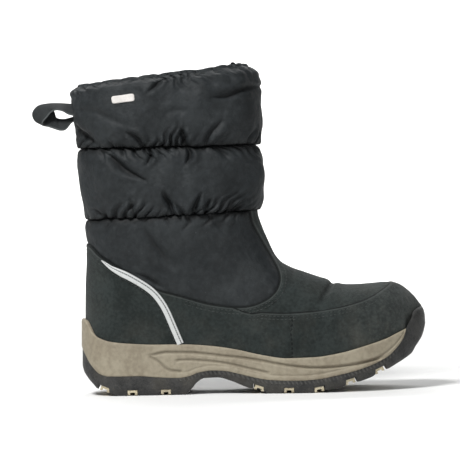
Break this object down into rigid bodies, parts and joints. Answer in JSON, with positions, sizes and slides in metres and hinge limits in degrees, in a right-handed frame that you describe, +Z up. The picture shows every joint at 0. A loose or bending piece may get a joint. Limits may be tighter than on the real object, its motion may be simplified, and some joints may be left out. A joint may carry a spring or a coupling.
{
  "type": "snow boot",
  "caption": "Pull-on winter boot for the right foot: quilted padded shaft, suede foot, moulded foam midsole, lugged rubber outsole with channel inserts, webbing pull loop and insole",
  "frame": {"origin": "on the floor under the middle of the heel, on the flat face of the lug between the second and third heel grooves", "axes": "+X to the toe, +Z up, +Y to the inner side of the right foot and -Y to its outer side"},
  "size_m": [0.3166, 0.1059, 0.266],
  "materials": {
    "outsole_rubber": "matte",
    "midsole_foam": "matte",
    "tread_insert": "matte",
    "quilted_nylon": "satin",
    "insole_felt": "matte",
    "suede": "matte",
    "webbing": "matte",
    "reflective_tape": "satin",
    "lining_fleece": "matte",
    "thread": "matte",
    "side_label": "matte"
  },
  "bodies": {
    "root": {"outsole": "outsole_rubber", "midsole": "midsole_foam", "heel_insert_1": "tread_insert", "heel_insert_2": "tread_insert", "heel_insert_3": "tread_insert", "forefoot_insert_1": "tread_insert", "forefoot_insert_2": "tread_insert", "forefoot_insert_3": "tread_insert", "forefoot_insert_4": "tread_insert", "forefoot_insert_5": "tread_insert", "upper": "quilted_nylon", "insole": "insole_felt", "heel_counter": "suede", "mudguard": "suede", "vamp": "suede", "pull_loop": "webbing"}
  },
  "joints": []
}
